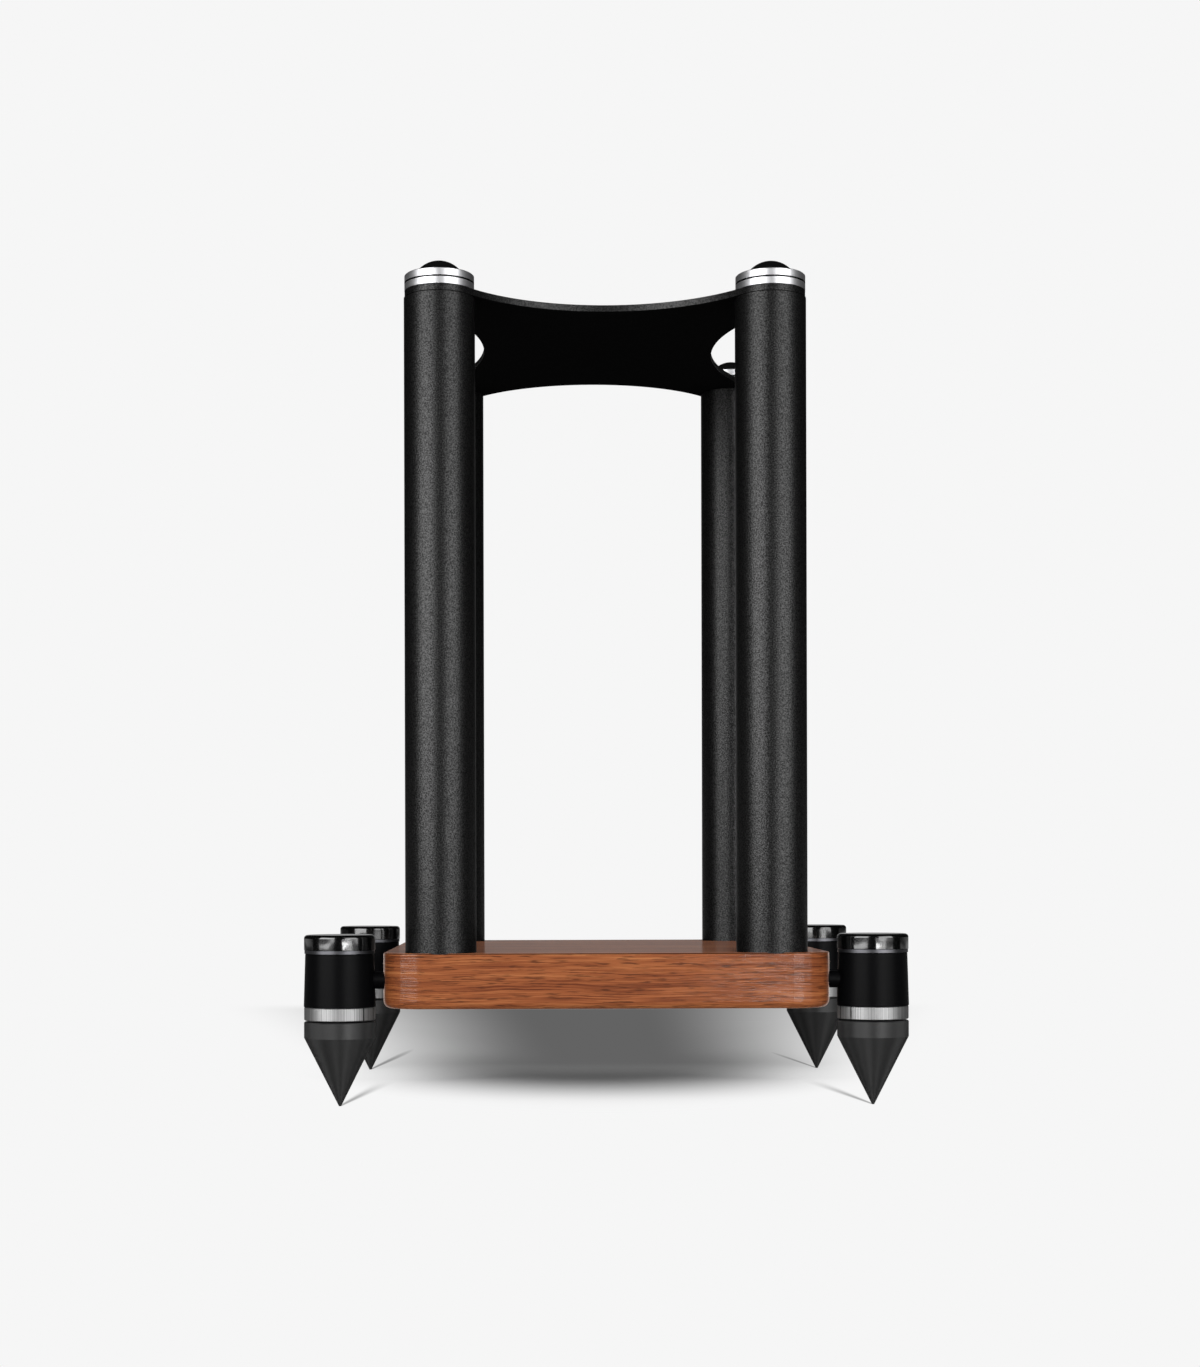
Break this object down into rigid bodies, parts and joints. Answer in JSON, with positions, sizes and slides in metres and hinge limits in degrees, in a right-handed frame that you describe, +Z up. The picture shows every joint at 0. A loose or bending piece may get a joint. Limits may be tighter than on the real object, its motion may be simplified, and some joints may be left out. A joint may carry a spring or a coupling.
{
  "type": "loudspeaker stand",
  "caption": "Floor-standing loudspeaker stand: timber base board and waisted steel top plate joined by round corner columns, on outboard spiked feet levelled by knobs, with rubber dome rests.",
  "frame": {"origin": "on the floor, midway between the four spike tips, with every spike screwed home", "axes": "+Z up, +X to the right seen from the front, +Y to the rear; the tall direction is Z and the stand is wider over its feet (X) than it is deep (Y)"},
  "size_m": [0.4256, 0.3484, 0.5935],
  "materials": {
    "walnut": "satin lacquered walnut veneer",
    "powder_black": "fine-texture black powder coat on steel",
    "turned_steel": "turned mild steel",
    "zinc_steel": "bright zinc-plated steel",
    "brass": "turned brass",
    "anodised_black": "satin black coated steel",
    "polished_aluminium": "turned and polished aluminium",
    "polished_steel": "polished steel",
    "rubber_black": "soft black rubber",
    "black_chrome": "polished black chrome plate",
    "brushed_steel": "steel brushed around its rim",
    "spike_black": "satin black coated turned steel"
  },
  "bodies": {
    "stand": {"base_board": "walnut", "top_plate": "powder_black", "column_bottom_plugs": "turned_steel", "column_top_plugs": "turned_steel", "base_bolts": "zinc_steel", "base_washers": "zinc_steel", "foot_studs": "zinc_steel", "foot_inserts": "brass", "foot_spacers": "anodised_black", "column_front_left": "powder_black", "clamp_collar_front_left": "polished_aluminium", "clamp_disc_front_left": "polished_aluminium", "dome_pad_front_left": "rubber_black", "foot_body_front_left": "anodised_black", "thread_bush_front_left": "brass", "slip_washer_front_left": "polished_steel", "column_front_right": "powder_black", "clamp_collar_front_right": "polished_aluminium", "clamp_disc_front_right": "polished_aluminium", "dome_pad_front_right": "rubber_black", "foot_body_front_right": "anodised_black", "thread_bush_front_right": "brass", "slip_washer_front_right": "polished_steel", "column_rear_left": "powder_black", "clamp_collar_rear_left": "polished_aluminium", "clamp_disc_rear_left": "polished_aluminium", "dome_pad_rear_left": "rubber_black", "foot_body_rear_left": "anodised_black", "thread_bush_rear_left": "brass", "slip_washer_rear_left": "polished_steel", "column_rear_right": "powder_black", "clamp_collar_rear_right": "polished_aluminium", "clamp_disc_rear_right": "polished_aluminium", "dome_pad_rear_right": "rubber_black", "foot_body_rear_right": "anodised_black", "thread_bush_rear_right": "brass", "slip_washer_rear_right": "polished_steel"},
    "knob_front_left": {"level_knob_front_left": "black_chrome", "knob_driver_front_left": "zinc_steel", "knob_retainer_front_left": "zinc_steel"},
    "screw_front_left": {"spike_front_left": "spike_black"},
    "lock_front_left": {"lock_ring_front_left": "brushed_steel"},
    "knob_front_right": {"level_knob_front_right": "black_chrome", "knob_driver_front_right": "zinc_steel", "knob_retainer_front_right": "zinc_steel"},
    "screw_front_right": {"spike_front_right": "spike_black"},
    "lock_front_right": {"lock_ring_front_right": "brushed_steel"},
    "knob_rear_left": {"level_knob_rear_left": "black_chrome", "knob_driver_rear_left": "zinc_steel", "knob_retainer_rear_left": "zinc_steel"},
    "screw_rear_left": {"spike_rear_left": "spike_black"},
    "lock_rear_left": {"lock_ring_rear_left": "brushed_steel"},
    "knob_rear_right": {"level_knob_rear_right": "black_chrome", "knob_driver_rear_right": "zinc_steel", "knob_retainer_rear_right": "zinc_steel"},
    "screw_rear_right": {"spike_rear_right": "spike_black"},
    "lock_rear_right": {"lock_ring_rear_right": "brushed_steel"}
  },
  "joints": [
    {"name": "knob_turn_front_left", "type": "hinge", "parent": "stand", "child": "knob_front_left", "pos_m": [-0.1876, -0.149, 0.11495], "axis": [0, 0, -1], "range_deg": [0, 2160]},
    {"name": "spike_travel_front_left", "type": "slide", "parent": "knob_front_left", "child": "screw_front_left", "axis": [0, 0, -1], "range_m": [0, 0.0105]},
    {"name": "lock_turn_front_left", "type": "hinge", "parent": "stand", "child": "lock_front_left", "pos_m": [-0.1876, -0.149, 0.0652], "axis": [0, 0, -1], "range_deg": [0, 180]},
    {"name": "knob_turn_front_right", "type": "hinge", "parent": "stand", "child": "knob_front_right", "pos_m": [0.1876, -0.149, 0.11495], "axis": [0, 0, -1], "range_deg": [0, 2160]},
    {"name": "spike_travel_front_right", "type": "slide", "parent": "knob_front_right", "child": "screw_front_right", "axis": [0, 0, -1], "range_m": [0, 0.0105]},
    {"name": "lock_turn_front_right", "type": "hinge", "parent": "stand", "child": "lock_front_right", "pos_m": [0.1876, -0.149, 0.0652], "axis": [0, 0, -1], "range_deg": [0, 180]},
    {"name": "knob_turn_rear_left", "type": "hinge", "parent": "stand", "child": "knob_rear_left", "pos_m": [-0.1876, 0.149, 0.11495], "axis": [0, 0, -1], "range_deg": [0, 2160]},
    {"name": "spike_travel_rear_left", "type": "slide", "parent": "knob_rear_left", "child": "screw_rear_left", "axis": [0, 0, -1], "range_m": [0, 0.0105]},
    {"name": "lock_turn_rear_left", "type": "hinge", "parent": "stand", "child": "lock_rear_left", "pos_m": [-0.1876, 0.149, 0.0652], "axis": [0, 0, -1], "range_deg": [0, 180]},
    {"name": "knob_turn_rear_right", "type": "hinge", "parent": "stand", "child": "knob_rear_right", "pos_m": [0.1876, 0.149, 0.11495], "axis": [0, 0, -1], "range_deg": [0, 2160]},
    {"name": "spike_travel_rear_right", "type": "slide", "parent": "knob_rear_right", "child": "screw_rear_right", "axis": [0, 0, -1], "range_m": [0, 0.0105]},
    {"name": "lock_turn_rear_right", "type": "hinge", "parent": "stand", "child": "lock_rear_right", "pos_m": [0.1876, 0.149, 0.0652], "axis": [0, 0, -1], "range_deg": [0, 180]}
  ],
  "couplings": [
    {"joint": "spike_travel_front_left", "follows": "knob_turn_front_left", "m_per_rad": 0.00027852},
    {"joint": "spike_travel_front_right", "follows": "knob_turn_front_right", "m_per_rad": 0.00027852},
    {"joint": "spike_travel_rear_left", "follows": "knob_turn_rear_left", "m_per_rad": 0.00027852},
    {"joint": "spike_travel_rear_right", "follows": "knob_turn_rear_right", "m_per_rad": 0.00027852}
  ]
}
